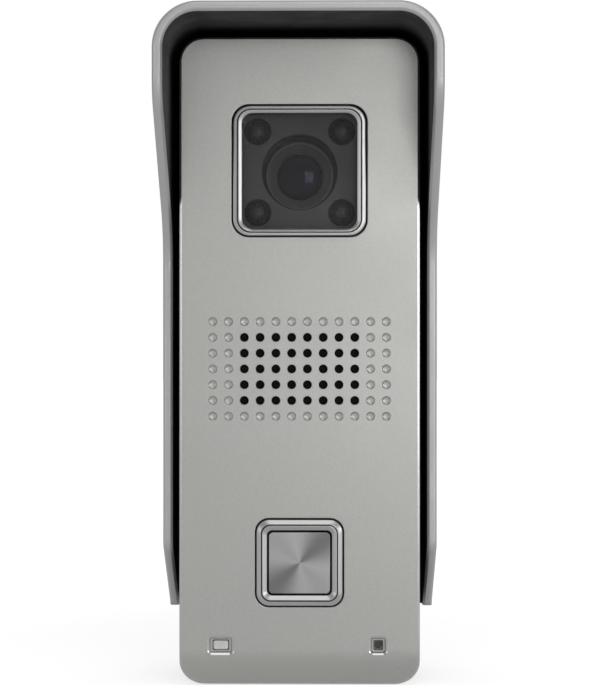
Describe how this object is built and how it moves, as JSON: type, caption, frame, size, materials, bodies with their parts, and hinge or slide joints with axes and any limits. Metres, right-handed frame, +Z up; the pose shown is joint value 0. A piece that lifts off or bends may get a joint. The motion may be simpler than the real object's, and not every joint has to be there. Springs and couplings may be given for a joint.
{
  "type": "door intercom panel",
  "caption": "Slim wall-hung door intercom panel in a deep rain hood, with a square camera window, infrared lamps, a perforated speaker field and a sprung square call button.",
  "frame": {"origin": "on the wall face of the hood's back plate, level with the middle of the face plate", "axes": "+Z up the panel, +Y into the wall, +X to the right of someone who faces the panel"},
  "size_m": [0.0556, 0.051, 0.1337],
  "materials": {
    "satin_aluminium": "bead-blasted, satin anodised",
    "bright_trim": "smooth, bright anodised",
    "spun_metal": "radially brushed",
    "silver_shell": "silver outside, satin black inside",
    "black_plastic": "fine moulded grain",
    "mask_plastic": "matt dark grey",
    "rubber": "matt",
    "circuit_board": "solder mask",
    "zinc_steel": "zinc plated",
    "window": "polished",
    "lens_glass": "polished, coated",
    "lamp_resin": "clear dark resin",
    "clear_plastic": "milky, moulded",
    "magnet": "plain",
    "film": "thin formed film",
    "spring_wire": "drawn wire"
  },
  "bodies": {
    "station": {"board_screw_1": "zinc_steel", "board_screw_2": "zinc_steel", "board_screw_3": "zinc_steel", "board_screw_4": "zinc_steel", "bracket_screw_1": "zinc_steel", "bracket_screw_2": "zinc_steel", "button_bezel": "bright_trim", "button_guide": "black_plastic", "button_return_spring": "spring_wire", "cable_grommet": "rubber", "camera_bezel": "bright_trim", "camera_board": "circuit_board", "camera_mask": "mask_plastic", "camera_screw_1": "zinc_steel", "camera_screw_2": "zinc_steel", "camera_window": "window", "face_plate": "satin_aluminium", "housing_gasket": "rubber", "housing_screw_1": "zinc_steel", "housing_screw_2": "zinc_steel", "housing_screw_3": "zinc_steel", "housing_screw_4": "zinc_steel", "image_sensor": "mask_plastic", "indicator_led": "clear_plastic", "indicator_light_pipe": "clear_plastic", "ir_led_1": "lamp_resin", "ir_led_2": "lamp_resin", "ir_led_3": "lamp_resin", "ir_led_4": "lamp_resin", "ir_led_board": "circuit_board", "lens_barrel": "black_plastic", "lens_front_glass": "lens_glass", "lens_holder": "black_plastic", "main_board": "circuit_board", "microphone_boot": "rubber", "microphone_capsule": "zinc_steel", "mounting_bracket": "zinc_steel", "processor_shield": "zinc_steel", "rain_hood": "silver_shell", "rear_housing": "black_plastic", "security_screw": "zinc_steel", "speaker_clamp": "zinc_steel", "speaker_cone": "film", "speaker_frame": "black_plastic", "speaker_gasket": "rubber", "speaker_magnet": "magnet", "speaker_mesh": "zinc_steel", "speaker_screw_1": "zinc_steel", "speaker_screw_2": "zinc_steel", "switch_body": "black_plastic", "terminal_block": "black_plastic", "window_seal": "rubber"},
    "call_button": {"button_cap": "spun_metal", "button_carrier": "black_plastic"},
    "switch_plunger": {"switch_plunger": "clear_plastic"}
  },
  "joints": [
    {"name": "call_button_press", "type": "slide", "parent": "station", "child": "call_button", "axis": [0, 1, 0], "range_m": [0, 0.001], "stiffness_N_per_m": 800, "springref_m": -0.002, "deforming": ["button_return_spring"]},
    {"name": "switch_plunger_press", "type": "slide", "parent": "station", "child": "switch_plunger", "axis": [0, 1, 0], "range_m": [0, 0.001], "stiffness_N_per_m": 100, "springref_m": -0.002}
  ],
  "couplings": [
    {"joint": "switch_plunger_press", "follows": "call_button_press", "ratio": 1}
  ]
}
